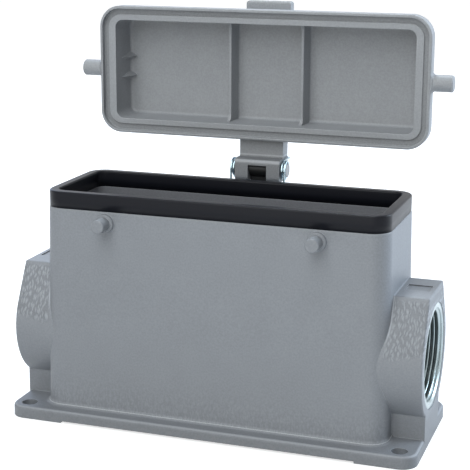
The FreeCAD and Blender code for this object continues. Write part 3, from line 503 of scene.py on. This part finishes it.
def cover_painted_light(tree, position, brightness, relief):
    """Adds each of the cover's painted shades and highlights, 1 on its place, times its lift to the
    brightness.
    """
    place = add(tree, "ShaderNodeSeparateXYZ", {0: position})
    height = place.outputs["Z"]
    on_arm = add(tree, "ShaderNodeMath", {
        0: place.outputs["X"], 1: 0.0, 2: ARM_HALF_MM * MM}, operation="COMPARE").outputs[0]
    knuckle = add(tree, "ShaderNodeMapRange", {
        "Value": height, "From Min": KNUCKLE_Z_MM[1] * MM, "From Max": KNUCKLE_Z_MM[0] * MM}).outputs[0]
    true_normal = add(tree, "ShaderNodeNewGeometry").outputs["True Normal"]
    forward = add(tree, "ShaderNodeVectorMath", {0: true_normal, 1: (0, -1, 0)}, operation="DOT_PRODUCT")
    facing = add(tree, "ShaderNodeMath", {
        0: forward.outputs["Value"], 1: MOUTH_GROOVE_FACING}, operation="GREATER_THAN").outputs[0]
    everywhere = 1.0
    bands = (
        (height, ARM_ROOT_Z_MM, on_arm, ARM_ROOT_SHADE),
        (height, ARM_STEP_Z_MM, on_arm, ARM_STEP_HIGHLIGHT_LIFT),
        (height, KNUCKLE_EDGE_Z_MM, everywhere, KNUCKLE_EDGE_HIGHLIGHT_LIFT),
        (place.outputs["Y"], MOUTH_GROOVE_Y_MM, facing, MOUTH_GROOVE_SHADE))
    for value, (middle, half), where, lift in bands:
        band = add(tree, "ShaderNodeMath", {0: value, 1: middle * MM, 2: half * MM}, operation="COMPARE")
        mark = add(tree, "ShaderNodeMath", {0: band.outputs[0], 1: where}, operation="MULTIPLY")
        brightness = add(tree, "ShaderNodeMath", {
            0: mark.outputs[0], 1: lift, 2: brightness}, operation="MULTIPLY_ADD").outputs[0]
    shaded = add(tree, "ShaderNodeMath", {
        0: knuckle, 1: KNUCKLE_SHADE, 2: brightness}, operation="MULTIPLY_ADD")
    return shaded.outputs[0], relief


def bead_painted_shade(tree, position, brightness, relief):
    """Painted shade: takes the same amount off the brightness all over."""
    shaded = add(tree, "ShaderNodeMath", {0: brightness, 1: BEAD_SHADE}, operation="ADD")
    return shaded.outputs[0], relief


# %% [markdown]
# ## The film itself
#
# Two noises make the film: one for the powder's grain, which also gives a low relief, and one for
# faint clouds of tone. A Bevel node softens the casting's sharp corners. Where its soft normal and
# the true one part there is an edge, painted lighter, partly as wear and partly as painted highlight.
# Inside the housing the colour is multiplied by a darker tint, a painted shade.

# %% Powder coat
GRAIN_MM = 0.6              # drawn a little coarser than real powder, so that it shows
GRAIN_RANGE = (0.3, 0.7)    # nearly all of the noise lies between these
GRAIN_HIGH_MM = 0.03
GRAIN_BUMP = 0.25
CLOUD_MM = 9.0
EDGE_MM = 0.35              # what the film and the mould take off a sharp corner
EDGE_AGREE = (0.97, 0.80)   # cosine between the two normals where wear begins, and where it is full
EDGE_WEAR_AND_HIGHLIGHT_LIFT = 0.7             # painted lighter there: partly the thinner film's wear, partly painted highlight
CAVITY_IN_MM = 3.2          # deeper inside the outline than this is the cavity
# painted shade: inside the housing the colour is multiplied by this darker tint
CAVITY_SHADE_TINT = (0.68, 0.655, 0.65)
FILM_ROUGHNESS = 0.52
FILM_IOR = 1.5


def in_cavity(tree, position):
    """1 inside the housing's walls, 0 outside: nearer the middle than the walls are."""
    place = add(tree, "ShaderNodeSeparateXYZ", {0: position})
    inside = 1.0
    for axis, size in zip("XY", BODY_RIM_MM):
        off_middle = add(tree, "ShaderNodeMath", {0: place.outputs[axis]}, operation="ABSOLUTE")
        near = add(tree, "ShaderNodeMath", {
            0: off_middle.outputs[0], 1: (size / 2 - CAVITY_IN_MM) * MM}, operation="LESS_THAN")
        inside = add(tree, "ShaderNodeMath", {
            0: near.outputs[0], 1: inside}, operation="MULTIPLY").outputs[0]
    return inside


def edge_wear_and_highlight(tree, corner):
    """0 on flat faces, 1 on worn, painted-highlight edges and corners: the soft and true normals part."""
    true_normal = add(tree, "ShaderNodeNewGeometry").outputs["True Normal"]
    agree = add(tree, "ShaderNodeVectorMath", {0: corner, 1: true_normal}, operation="DOT_PRODUCT")
    return add(tree, "ShaderNodeMapRange", {
        "Value": agree.outputs["Value"],
        "From Min": EDGE_AGREE[0], "From Max": EDGE_AGREE[1]}).outputs[0]


def make_powder_coat(name, grey, cloud_grey, contrast, marks, cavity_shade_tint=None):
    """Satin grey film: fine grain, faint clouds, worn corners with painted highlight, and the casting's
    marks.
    """
    material, tree, output = start_material(name)
    position = add(tree, "ShaderNodeTexCoord").outputs["Object"]
    cloud = add(tree, "ShaderNodeTexNoise", {
        "Vector": position, "Scale": per_mm(CLOUD_MM), "Detail": 3.0})
    grain = add(tree, "ShaderNodeTexNoise", {
        "Vector": position, "Scale": per_mm(GRAIN_MM), "Detail": 2.0}).outputs["Fac"]
    tone = add(tree, "ShaderNodeMix", {
        "Factor": cloud.outputs["Fac"], "A": linear(grey), "B": linear(cloud_grey)},
        data_type="RGBA").outputs["Result"]
    if cavity_shade_tint:
        tint = add(tree, "ShaderNodeMix", {
            "Factor": in_cavity(tree, position), "A": (1, 1, 1, 1), "B": (*cavity_shade_tint, 1)},
            data_type="RGBA")
        tone = add(tree, "ShaderNodeVectorMath", {
            0: tone, 1: tint.outputs["Result"]}, operation="MULTIPLY").outputs[0]
    speck = add(tree, "ShaderNodeMapRange", {
        "Value": grain, "From Min": GRAIN_RANGE[0], "From Max": GRAIN_RANGE[1],
        "To Min": 1 - contrast, "To Max": 1 + contrast})
    corner = add(tree, "ShaderNodeBevel", {"Radius": EDGE_MM * MM}, samples=6).outputs[0]
    worn = add(tree, "ShaderNodeMath", {
        0: edge_wear_and_highlight(tree, corner), 1: EDGE_WEAR_AND_HIGHLIGHT_LIFT, 2: speck.outputs[0]}, operation="MULTIPLY_ADD")
    relief = add(tree, "ShaderNodeBump", {
        "Height": grain, "Normal": corner, "Strength": GRAIN_BUMP, "Distance": GRAIN_HIGH_MM * MM})
    brightness, normal = marks(tree, position, worn.outputs[0], relief.outputs[0])
    colour = add(tree, "ShaderNodeVectorMath", {0: tone, "Scale": brightness}, operation="SCALE")
    surface = add(tree, "ShaderNodeBsdfPrincipled", {
        "Base Color": colour.outputs[0], "Roughness": FILM_ROUGHNESS, "IOR": FILM_IOR,
        "Normal": normal})
    tree.links.new(surface.outputs[0], output.inputs["Surface"])
    return material


# %% [markdown]
# ## Three coats
#
# Housing and cover get the same film in two greys: the cover's is painted a little paler, as painted
# light on it. The bead is paler still, a painted highlight. Each coat brings its own marks.


# %% Coats of the castings
def finish_node(node, material):
    """Gives a CAD node its finish."""
    for slot in frame["nodes"][node].material_slots:
        slot.material = material
    print(node, "is finished in", material.name)


housing_coat = make_powder_coat(
    "powder_coat_housing", "#8d9095", "#86898e", contrast=0.07, marks=housing_marks_and_painted_light,
    cavity_shade_tint=CAVITY_SHADE_TINT)
# The cover's grey is painted paler than the housing's, as painted light.
cover_coat_painted_paler = make_powder_coat(
    "powder_coat_cover_painted_paler", "#a0a2a5", "#989a9e", contrast=0.08, marks=cover_painted_light)
# The bead's pale grey is a painted highlight along the body's foot.
bead_highlight_coat = make_powder_coat(
    "powder_coat_bead_highlight", "#c3c6ca", "#b9bcc0", contrast=0.07, marks=bead_painted_shade)
finish_node("housing", housing_coat)
finish_node("cover", cover_coat_painted_paler)

# %% [markdown]
# ## Zinc plate
#
# The entry rings, springs and screws are steel with a thin zinc plate, which is bright with a blue
# tint and slightly cloudy from the plating bath. The hinge pin is plain stainless steel, a little
# duller. The groove of the entry thread is painted dark as painted shade, which makes the thread's
# turns stand apart. The groove is found by its radius from the ring's axis.

# %% Zinc plate
THREAD_DARK_R_MM = (15.3, 15.8)   # the dark grows from the thread's crest to its root
THREAD_DARK_X_MM = 70.6           # the chamfer at each mouth is as bright as the face
THREAD_DARK_SHARE = 0.35
BATH_MM = 2.0                     # size of the plate's clouds
BATH_HIGH_MM = 0.02
BATH_BUMP = 0.05
PLATE_EDGE_MM = 0.15


def thread_shade(tree, position):
    """Share of light left by the painted shade in the thread's groove, by the distance |(y, z) - (0, axis
    height)|.
    """
    low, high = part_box("entry_insert_right")
    centred = add(tree, "ShaderNodeVectorMath", {
        0: position, 1: (0, 0, (low.z + high.z) / 2)}, operation="SUBTRACT")
    across = add(tree, "ShaderNodeVectorMath", {0: centred.outputs[0], 1: (0, 1, 1)}, operation="MULTIPLY")
    radius = add(tree, "ShaderNodeVectorMath", {0: across.outputs[0]}, operation="LENGTH")
    deep = add(tree, "ShaderNodeMapRange", {
        "Value": radius.outputs["Value"],
        "From Min": THREAD_DARK_R_MM[0] * MM, "From Max": THREAD_DARK_R_MM[1] * MM})
    place = add(tree, "ShaderNodeSeparateXYZ", {0: position})
    along = add(tree, "ShaderNodeMath", {0: place.outputs["X"]}, operation="ABSOLUTE")
    inner = add(tree, "ShaderNodeMath", {
        0: along.outputs[0], 1: THREAD_DARK_X_MM * MM}, operation="LESS_THAN")
    both = add(tree, "ShaderNodeMath", {0: deep.outputs[0], 1: inner.outputs[0]}, operation="MULTIPLY")
    return add(tree, "ShaderNodeMapRange", {
        "Value": both.outputs[0], "To Min": 1.0, "To Max": THREAD_DARK_SHARE}).outputs[0]


def make_bright_metal(name, tint, roughness, cloud=0.06, shade=None):
    """Plated or bright steel: its roughness swings by cloud, and shade gives any darker place."""
    material, tree, output = start_material(name)
    position = add(tree, "ShaderNodeTexCoord").outputs["Object"]
    colour = linear(tint)
    if shade:
        colour = add(tree, "ShaderNodeVectorMath", {
            0: linear(tint)[:3], "Scale": shade(tree, position)}, operation="SCALE").outputs[0]
    bath = add(tree, "ShaderNodeTexNoise", {"Vector": position, "Scale": per_mm(BATH_MM), "Detail": 3.0})
    rough = add(tree, "ShaderNodeMapRange", {
        "Value": bath.outputs["Fac"], "To Min": roughness - cloud, "To Max": roughness + cloud})
    corner = add(tree, "ShaderNodeBevel", {"Radius": PLATE_EDGE_MM * MM}, samples=4)
    relief = add(tree, "ShaderNodeBump", {
        "Height": bath.outputs["Fac"], "Normal": corner.outputs[0],
        "Strength": BATH_BUMP, "Distance": BATH_HIGH_MM * MM})
    surface = add(tree, "ShaderNodeBsdfPrincipled", {
        "Base Color": colour, "Metallic": 1.0, "Roughness": rough.outputs[0],
        "Normal": relief.outputs[0]})
    tree.links.new(surface.outputs[0], output.inputs["Surface"])
    return material


zinc_thread = make_bright_metal("zinc_plate_turned", "#a3b0b3", 0.28, 0.02, thread_shade)
zinc_wire = make_bright_metal("zinc_plate_wire", "#b9cdd6", 0.22)
zinc_screw = make_bright_metal("zinc_plate_screw", "#b9bfc2", 0.30)
pin_steel = make_bright_metal("stainless_pin", "#76797c", 0.35)
finish_node("hinge_pin", pin_steel)
for side in SIDES:
    finish_node("bracket_washer_" + side, zinc_screw)
    finish_node("bracket_screw_" + side, zinc_screw)

# %% [markdown]
# ## Black coat and rubber
#
# The hinge bracket is steel in a black satin coat. The seal is moulded nitrile rubber, nearly black,
# whose mould finish gives it a soft sheen. Both are dark and not metal, with a fine grain that makes
# the gloss uneven, so one function serves for both. Their usual IOR of about 1.5 gives more gloss
# than the photograph shows, so both are matched below it.

# %% Black coat and rubber
GRAIN_GLOSS = 0.05    # how far the roughness swings
DARK_BUMP = 0.2


def make_dark_finish(name, colour, roughness, ior, grain_mm, high_mm):
    """A dark surface with moulded or sprayed grain, which changes its roughness and its normal."""
    material, tree, output = start_material(name)
    position = add(tree, "ShaderNodeTexCoord").outputs["Object"]
    grain = add(tree, "ShaderNodeTexNoise", {
        "Vector": position, "Scale": per_mm(grain_mm), "Detail": 3.0}).outputs["Fac"]
    rough = add(tree, "ShaderNodeMapRange", {
        "Value": grain, "To Min": roughness - GRAIN_GLOSS, "To Max": roughness + GRAIN_GLOSS})
    relief = add(tree, "ShaderNodeBump", {
        "Height": grain, "Strength": DARK_BUMP, "Distance": high_mm * MM})
    surface = add(tree, "ShaderNodeBsdfPrincipled", {
        "Base Color": linear(colour), "Roughness": rough.outputs[0], "IOR": ior,
        "Normal": relief.outputs[0]})
    tree.links.new(surface.outputs[0], output.inputs["Surface"])
    return material


black_coat = make_dark_finish("black_coat_bracket", "#0a0b0c", 0.5, 1.4, 0.3, 0.02)
seal_rubber = make_dark_finish("nitrile_rubber", "#16171d", 0.36, 1.25, 0.25, 0.01)
finish_node("hinge_bracket", black_coat)

# %% [markdown]
# ## Surfaces from grids of points
#
# Each new piece is a tube, in the wide sense: a closed section carried along a path. The grid has
# one row for each place along the path and one column for each point of the section, and numpy works
# it out in one go. Neighbouring rows and columns make the faces.


# %% Grid helpers
def grid_faces(rows, columns, close_rows):
    """Quads between neighbours of a grid whose columns wrap round, and whose rows may."""
    last = rows if close_rows else rows - 1
    row, column = np.meshgrid(np.arange(last), np.arange(columns), indexing="ij")
    below = (row + 1) % rows
    beside = (column + 1) % columns
    corners = [row * columns + column, below * columns + column,
               below * columns + beside, row * columns + beside]
    return np.stack(corners, axis=-1).reshape(-1, 4)


def make_piece(name, points, faces, material, body, caps=()):
    """A smooth-shaded object from a grid of points in metres, with any end caps."""
    mesh = bpy.data.meshes.new(name)
    mesh.from_pydata(points.reshape(-1, 3).tolist(), [], faces.tolist() + [list(cap) for cap in caps])
    mesh.shade_smooth()
    mesh.materials.append(material)
    mesh.update()
    piece = bpy.data.objects.new(name, mesh)
    bpy.context.scene.collection.objects.link(piece)
    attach(piece, body)
    print(name, len(mesh.polygons), "faces")
    return piece


def arc(centre, radius, start, end, count):
    """Points of a circle's arc: centre + radius (cos t, sin t), for t from start to end in degrees."""
    t = np.radians(np.linspace(start, end, count))
    return np.stack([centre[0] + radius * np.cos(t), centre[1] + radius * np.sin(t)], axis=1)


# %% [markdown]
# ## Carried round a rounded rectangle
#
# The seal and the bead of flash both run round the body. Their path is a rounded rectangle, and a
# point of the section that lies further in runs round a smaller one with the same corner centres.

# %% Round the body
CORNER_POINTS = 14


def rounded_loop(half_x, half_y, corner, inward):
    """Rounded rectangle, anticlockwise, moved inwards by each value of inward.

    A corner point is the corner's centre plus (corner - inward) (cos t, sin t), and straight
    stretches follow from joining the corners."""
    t = np.radians(np.linspace(0, 90, CORNER_POINTS))
    loops = []
    for index, (sx, sy) in enumerate(((1, 1), (-1, 1), (-1, -1), (1, -1))):
        turn = t + index * np.pi / 2
        radius = corner - inward[:, None]
        x = sx * (half_x - corner) + radius * np.cos(turn)
        y = sy * (half_y - corner) + radius * np.sin(turn)
        loops.append(np.stack([x, y], axis=-1))
    return np.concatenate(loops, axis=1)


def carry_round(section, half_x, half_y, corner, base_z):
    """Points and faces of a section that is carried round the loop, at its height above base_z.

    The section's first column is the distance inwards and its second the height, in millimetres."""
    loop = rounded_loop(half_x, half_y, corner, section[:, 0])
    height = np.broadcast_to(section[:, 1, None] + base_z, loop.shape[:2])
    points = np.concatenate([loop, height[..., None]], axis=-1).transpose(1, 0, 2) * MM
    return points, grid_faces(points.shape[0], points.shape[1], True)


# %% [markdown]
# ## The rim seal
#
# A ring of rubber stands on the casting's rim, with a groove for the casting's tongue. What makes it
# look like rubber is the soft rounding of its upper edges, which catches the lamps as a grey line.
# Its section is drawn once, as distance inwards from the outer face against height, and carried round
# the rim's rounded rectangle.

# %% Rim seal
SEAL_CORNER_MM = 6.45
SEAL_WALL_MM = 3.4
SEAL_ROUND_MM = 0.6
SEAL_GROOVE_MM = (1.4, 2.7)   # width and height of the groove for the tongue
SEAL_CROWN_DEG = 5            # the rounded edges stop this far from level, under a flat crown
ARC_POINTS = 9
CROWN_POINTS = 7


def seal_section(height):
    """Distance inwards and height of the section's points, from the outer side over the top.

    Two arcs of the rounding's radius stand in the upper corners, with a flat crown between them, and
    the foot is a rectangle with the tongue's groove cut out of it."""
    wall = SEAL_WALL_MM
    r = SEAL_ROUND_MM
    outer = arc((r, height - r), r, 180, 90 + SEAL_CROWN_DEG, ARC_POINTS)
    inner = arc((wall - r, height - r), r, 90 - SEAL_CROWN_DEG, 0, ARC_POINTS)
    across = np.linspace(outer[-1, 0], inner[0, 0], CROWN_POINTS)[1:-1]
    crown = np.stack([across, np.full(across.size, outer[-1, 1])], axis=1)
    wide, deep = SEAL_GROOVE_MM
    near = (wall - wide) / 2
    far = (wall + wide) / 2
    foot = np.array([(wall, 0), (far, 0), (far, deep), (near, deep), (near, 0), (0, 0)])
    return np.vstack([(0, height / 2), outer, crown, inner, (wall, height / 2), foot])


def make_seal():
    """The seal's section carried round the outline of the CAD seal's box."""
    low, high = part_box("rim_seal")
    size = (high - low) / MM
    points, faces = carry_round(
        seal_section(size.z), size.x / 2, size.y / 2, SEAL_CORNER_MM, low.z / MM)
    return make_piece("soft_rim_seal", points, faces, seal_rubber, "housing_body")


soft_seal = make_seal()
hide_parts("rim_seal")

# %% [markdown]
# ## A painted highlight bead at the foot of the body
#
# Where the body stands on its flange runs a fine raised line, as the mould's parting leaves; its pale
# coat is a painted highlight. It is a low bead along the body's outline, on the rounded foot.

# %% Foot bead
FLANGE_TOP_MM = 4.4
# The bead's section: distance out from the body and height above the flange, from below to above.
BEAD_MM = ((0.32, 0.33), (0.45, 0.49), (0.45, 0.59), (0.39, 0.67), (0.30, 0.70), (0.11, 0.61))


def make_foot_highlight_bead():
    """The bead's section carried round the body's outline, as wide as the draft makes it there."""
    section = np.array(BEAD_MM) * (-1, 1)
    grown = (BODY_RIM_MM[2] - FLANGE_TOP_MM) * BODY_DRAFT
    half_x, half_y = (size / 2 + grown for size in BODY_RIM_MM[:2])
    points, faces = carry_round(section, half_x, half_y, BODY_CORNER_MM, FLANGE_TOP_MM)
    return make_piece("foot_highlight_bead", points, faces[:, ::-1], bead_highlight_coat, "housing_body")


foot_highlight_bead = make_foot_highlight_bead()

# %% [markdown]
# ## The threaded entry rings
#
# Each ring is turned steel with an M32 x 1.5 inside thread. The thread's groove climbs by one pitch
# for each turn, so the bore's radius depends on x plus the pitch times the angle's share of a turn. A
# chamfer at both mouths cuts the thread off where its cone is wider.

# %% Entry rings
THREAD_PITCH_MM = 1.5
THREAD_MINOR_MM = 15.19
THREAD_DEPTH_MM = 0.81
CREST_SHARE = 0.25        # shares of the pitch that are flat, at the crest and at the root
ROOT_SHARE = 0.125
CHAMFER_MM = 1.1
RING_EDGE_MM = 0.12
RING_PROUD_MM = 0.45      # the ring's face comes nearly flush with the casting's end
POINTS_AROUND = 144
POINTS_PER_PITCH = 10


def thread_radius(x, angle):
    """Minor radius plus the groove: a wave over one pitch with a flat crest and a flat root."""
    share = np.mod(x / THREAD_PITCH_MM + angle / (2 * np.pi), 1.0)
    wave = np.abs(2 * share - 1)
    groove = np.clip((wave - CREST_SHARE) / (1 - CREST_SHARE - ROOT_SHARE), 0, 1)
    return THREAD_MINOR_MM + THREAD_DEPTH_MM * groove


def make_ring(side):
    """A turned ring: its radius as a function of x and the angle, along the bore and back outside.

    In the bore it is the thread's radius, or the chamfer's cone where that is wider. The cone's
    radius is the mouth's less the distance from the nearer face."""
    low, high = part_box("entry_insert_" + side)
    outer = (high.y - low.y) / 2 / MM
    centre_z = (high.z + low.z) / 2 / MM
    back = low.x / MM - (RING_PROUD_MM if side == "left" else 0)
    face = high.x / MM + (RING_PROUD_MM if side == "right" else 0)
    bore = np.linspace(back, face, int((face - back) / THREAD_PITCH_MM * POINTS_PER_PITCH))
    mouth = THREAD_MINOR_MM + CHAMFER_MM
    cone = mouth - np.minimum(bore - back, face - bore)
    edge = RING_EDGE_MM
    rim_x = np.array([face, face, face - edge, back + edge, back, back])
    rim_r = np.array([mouth + edge, outer - edge, outer, outer, outer - edge, mouth + edge])
    angle = np.linspace(0, 2 * np.pi, POINTS_AROUND, endpoint=False)[:, None]
    threaded = np.maximum(thread_radius(bore[None, :], angle), cone[None, :])
    radius = np.concatenate([threaded, np.broadcast_to(rim_r, (POINTS_AROUND, rim_r.size))], axis=1)
    along = np.broadcast_to(np.concatenate([bore, rim_x]), radius.shape)
    points = np.stack([
        along, radius * np.sin(angle), centre_z + radius * np.cos(angle)], axis=-1) * MM
    faces = grid_faces(points.shape[0], points.shape[1], True)[:, ::-1]
    return make_piece("threaded_ring_" + side, points, faces, zinc_thread, "housing_body")


for side in SIDES:
    ring = make_ring(side)
    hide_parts("entry_insert_" + side)

# %% [markdown]
# ## The torsion springs
#
# Each spring is one piece of round wire: a hook behind the cover's arm, one and a quarter turns
# round the pin, and a leg down to the bracket's wing. A circle is carried along that path. Its two
# side directions come from the path's direction and one fixed slanted vector, which the path never
# runs along, so the circle never flips. The left spring is the right one mirrored.

# %% Springs
WIRE_R_MM = 0.4
COIL_R_MM = 3.4
COIL_TURNS = 1.25
HOOK_BEND_MM = 1.3
HOOK_REACH_MM = 3.2
PIVOT_MM = tuple(value / MM for value in frame["joints"][0]["pos_m"])
WIRE_SIDES = 14
COIL_POINTS = 90
SLANTED = np.array([1.0, 1.0, 1.0])


def spring_path(low, high):
    """Hook, coil and leg as one line of points: helix x eases by 3s^2 - 2s^3 over the coil's turns."""
    pivot_y, pivot_z = PIVOT_MM[1:]
    top_z = pivot_z + COIL_R_MM
    end_x = high.x / MM - WIRE_R_MM
    hook_y = high.y / MM - WIRE_R_MM
    hook_x = low.x / MM
    start_x = hook_x + HOOK_REACH_MM + HOOK_BEND_MM
    hook = (hook_x, hook_y, top_z)
    bend_flat = arc(
        (start_x - HOOK_BEND_MM, hook_y - HOOK_BEND_MM), HOOK_BEND_MM, 90, 0, ARC_POINTS)
    bend = np.column_stack([bend_flat, np.full(ARC_POINTS, top_z)])
    s = np.linspace(0, 1, COIL_POINTS)
    turn = np.pi / 2 + 2 * np.pi * COIL_TURNS * s
    coil = np.column_stack([
        start_x + (end_x - start_x) * (3 * s ** 2 - 2 * s ** 3),
        pivot_y + COIL_R_MM * np.cos(turn), pivot_z + COIL_R_MM * np.sin(turn)])
    leg = (end_x, pivot_y - COIL_R_MM, low.z / MM)
    return np.vstack([hook, bend, coil, leg])


def tube(path, radius, sides):
    """Circle of the radius at each point of a path, square to the path's direction."""
    direction = np.gradient(path, axis=0)
    direction /= np.linalg.norm(direction, axis=1, keepdims=True)
    first = np.cross(direction, SLANTED)
    first /= np.linalg.norm(first, axis=1, keepdims=True)
    second = np.cross(direction, first)
    t = np.linspace(0, 2 * np.pi, sides, endpoint=False)[None, :, None]
    return path[:, None] + radius * (np.cos(t) * first[:, None] + np.sin(t) * second[:, None])


def make_spring(side):
    """The right spring's tube with flat ends, with x and the faces' order turned round for the left."""
    low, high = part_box("torsion_spring_right")
    points = tube(spring_path(low, high), WIRE_R_MM, WIRE_SIDES) * MM
    rows, columns = points.shape[:2]
    faces = grid_faces(rows, columns, False)[:, ::-1]
    caps = [list(range(columns)), list(range(rows * columns - 1, (rows - 1) * columns - 1, -1))]
    if side == "left":
        points[..., 0] *= -1
        faces = faces[:, ::-1]
        caps = [cap[::-1] for cap in caps]
    return make_piece("round_wire_spring_" + side, points, faces, zinc_wire, "housing_body", caps)


for side in SIDES:
    spring = make_spring(side)
    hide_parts("torsion_spring_" + side)
